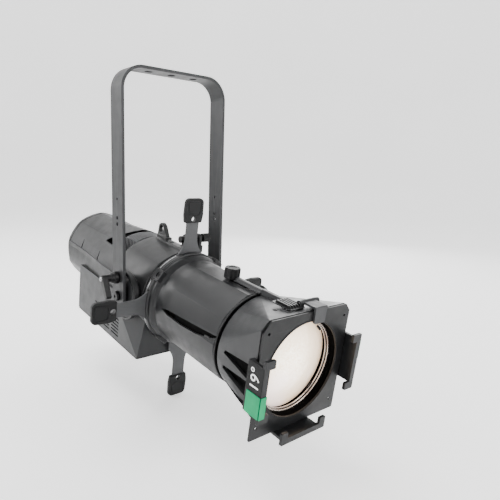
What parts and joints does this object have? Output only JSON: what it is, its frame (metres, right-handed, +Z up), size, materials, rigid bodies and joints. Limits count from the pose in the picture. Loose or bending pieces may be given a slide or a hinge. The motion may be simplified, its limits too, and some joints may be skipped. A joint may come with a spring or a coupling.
{
  "type": "ellipsoidal spotlight",
  "caption": "Stage profile spotlight: an LED ellipsoidal head with framing shutters, sliding lens tube and accessory holder, hung in a bent-strap yoke.",
  "frame": {"origin": "centre of the hanging bolt hole, on the top face of the yoke bar", "axes": "+Z up out of the yoke, -Y the way the lens looks, +X to the right seen from behind the lens side"},
  "size_m": [0.34, 0.6438, 0.5556],
  "materials": {
    "strap_paint": "satin black powder coat on bent steel strap",
    "housing_paint": "satin charcoal paint over die-cast aluminium",
    "dark_paint": "fine-textured black paint",
    "black_plastic": "fine-textured moulded black",
    "blade_steel": "brushed stainless sheet",
    "steel": "zinc-plated fastener",
    "sink_aluminium": "black anodised fins",
    "circuit_board": "solder-masked circuit board",
    "display_glass": "tinted display window",
    "clear_glass": "clear optical glass",
    "lens_glass": "warm lit lens",
    "green_plastic": "plain green colour code"
  },
  "bodies": {
    "yoke": {"yoke": "strap_paint"},
    "tilt_lock": {"tilt_lever": "black_plastic", "tilt_lock_stud": "steel"},
    "head": {"tilt_plate_left": "dark_paint", "tilt_plate_right": "dark_paint", "pivot_bolt_left": "steel", "pivot_bolt_right": "steel", "friction_washer_left": "black_plastic", "friction_washer_right": "black_plastic", "housing_upper": "housing_paint", "housing_lower": "housing_paint", "bottom_cover": "housing_paint", "rear_cap": "housing_paint", "control_display": "display_glass", "power_inlet": "black_plastic", "power_outlet": "black_plastic", "data_input": "black_plastic", "data_output": "black_plastic", "heat_sink": "sink_aluminium", "fan_frame": "black_plastic", "led_board": "circuit_board", "collimator": "clear_glass", "gate_plate": "dark_paint", "driver_board": "circuit_board", "safety_loop": "housing_paint", "rotation_clamp": "dark_paint"},
    "fan": {"fan_rotor": "black_plastic"},
    "rotation_lock": {"rotation_lock_knob": "black_plastic"},
    "button_1": {"control_button_1": "black_plastic"},
    "button_2": {"control_button_2": "black_plastic"},
    "button_3": {"control_button_3": "black_plastic"},
    "button_4": {"control_button_4": "black_plastic"},
    "barrel": {"shutter_housing_rear": "dark_paint", "shutter_housing_front": "housing_paint", "barrel": "housing_paint", "barrel_trim_ring": "black_plastic"},
    "shutter_top": {"shutter_blade_top": "blade_steel", "shutter_grip_top": "black_plastic"},
    "shutter_right": {"shutter_blade_right": "blade_steel", "shutter_grip_right": "black_plastic"},
    "shutter_bottom": {"shutter_blade_bottom": "blade_steel", "shutter_grip_bottom": "black_plastic"},
    "shutter_left": {"shutter_blade_left": "blade_steel", "shutter_grip_left": "black_plastic"},
    "lens_tube": {"lens_tube": "housing_paint", "focus_rail": "housing_paint", "front_lens": "lens_glass", "rear_lens": "clear_glass", "lens_retainer": "black_plastic", "frame_channel_right": "dark_paint", "frame_channel_bottom": "dark_paint", "frame_channel_left": "dark_paint", "colour_frame": "dark_paint", "latch_pin": "steel", "beam_angle_tag_left": "green_plastic", "beam_angle_tag_right": "green_plastic"},
    "focus_lock": {"focus_knob": "black_plastic"},
    "tube_lock": {"tube_lock_knob": "black_plastic"},
    "frame_latch": {"frame_latch": "housing_paint"}
  },
  "joints": [
    {"name": "tilt", "type": "hinge", "parent": "yoke", "child": "head", "pos_m": [0, 0, -0.3643], "axis": [1, 0, 0], "range_deg": [-26, 82]},
    {"name": "tilt_lock_turn", "type": "hinge", "parent": "yoke", "child": "tilt_lock", "pos_m": [-0.11, 0, -0.3333], "axis": [1, 0, 0], "range_deg": [-10, 80]},
    {"name": "fan_spin", "type": "hinge", "parent": "head", "child": "fan", "pos_m": [0, 0.18914, -0.33772], "axis": [0, 0.9903, 0.1392], "continuous": true},
    {"name": "rotation_lock_turn", "type": "hinge", "parent": "head", "child": "rotation_lock", "pos_m": [0.025, -0.03289, -0.274], "axis": [1, 0, 0], "continuous": true},
    {"name": "button_1_press", "type": "slide", "parent": "head", "child": "button_1", "axis": [0, 0.9903, 0.1392], "range_m": [-0.0015, 0], "stiffness_N_per_m": 400, "springref_m": 0.0005},
    {"name": "button_2_press", "type": "slide", "parent": "head", "child": "button_2", "axis": [0, 0.9903, 0.1392], "range_m": [-0.0015, 0], "stiffness_N_per_m": 400, "springref_m": 0.0005},
    {"name": "button_3_press", "type": "slide", "parent": "head", "child": "button_3", "axis": [0, 0.9903, 0.1392], "range_m": [-0.0015, 0], "stiffness_N_per_m": 400, "springref_m": 0.0005},
    {"name": "button_4_press", "type": "slide", "parent": "head", "child": "button_4", "axis": [0, 0.9903, 0.1392], "range_m": [-0.0015, 0], "stiffness_N_per_m": 400, "springref_m": 0.0005},
    {"name": "barrel_rotation", "type": "hinge", "parent": "head", "child": "barrel", "pos_m": [0, -0.05942, -0.37265], "axis": [0, 0.9903, 0.1392], "range_deg": [-20, 20]},
    {"name": "shutter_top_slide", "type": "slide", "parent": "barrel", "child": "shutter_top", "axis": [0, -0.1392, 0.9903], "range_m": [-0.029, 0.016]},
    {"name": "shutter_right_slide", "type": "slide", "parent": "barrel", "child": "shutter_right", "axis": [1, 0, 0], "range_m": [-0.029, 0.016]},
    {"name": "shutter_bottom_slide", "type": "slide", "parent": "barrel", "child": "shutter_bottom", "axis": [0, 0.1392, -0.9903], "range_m": [-0.045, 0]},
    {"name": "shutter_left_slide", "type": "slide", "parent": "barrel", "child": "shutter_left", "axis": [-1, 0, 0], "range_m": [-0.029, 0.016]},
    {"name": "focus_slide", "type": "slide", "parent": "barrel", "child": "lens_tube", "axis": [0, -0.9903, -0.1392], "range_m": [-0.003, 0.035]},
    {"name": "focus_lock_turn", "type": "hinge", "parent": "lens_tube", "child": "focus_lock", "pos_m": [0, -0.17057, -0.30749], "axis": [0, -0.1392, 0.9903], "continuous": true},
    {"name": "tube_lock_turn", "type": "hinge", "parent": "lens_tube", "child": "tube_lock", "pos_m": [0.05822, -0.17713, -0.33986], "axis": [0.766, -0.0895, 0.6365], "continuous": true},
    {"name": "frame_latch_turn", "type": "hinge", "parent": "lens_tube", "child": "frame_latch", "pos_m": [0.015, -0.30683, -0.32229], "axis": [1, 0, 0], "range_deg": [-110, 0]}
  ]
}
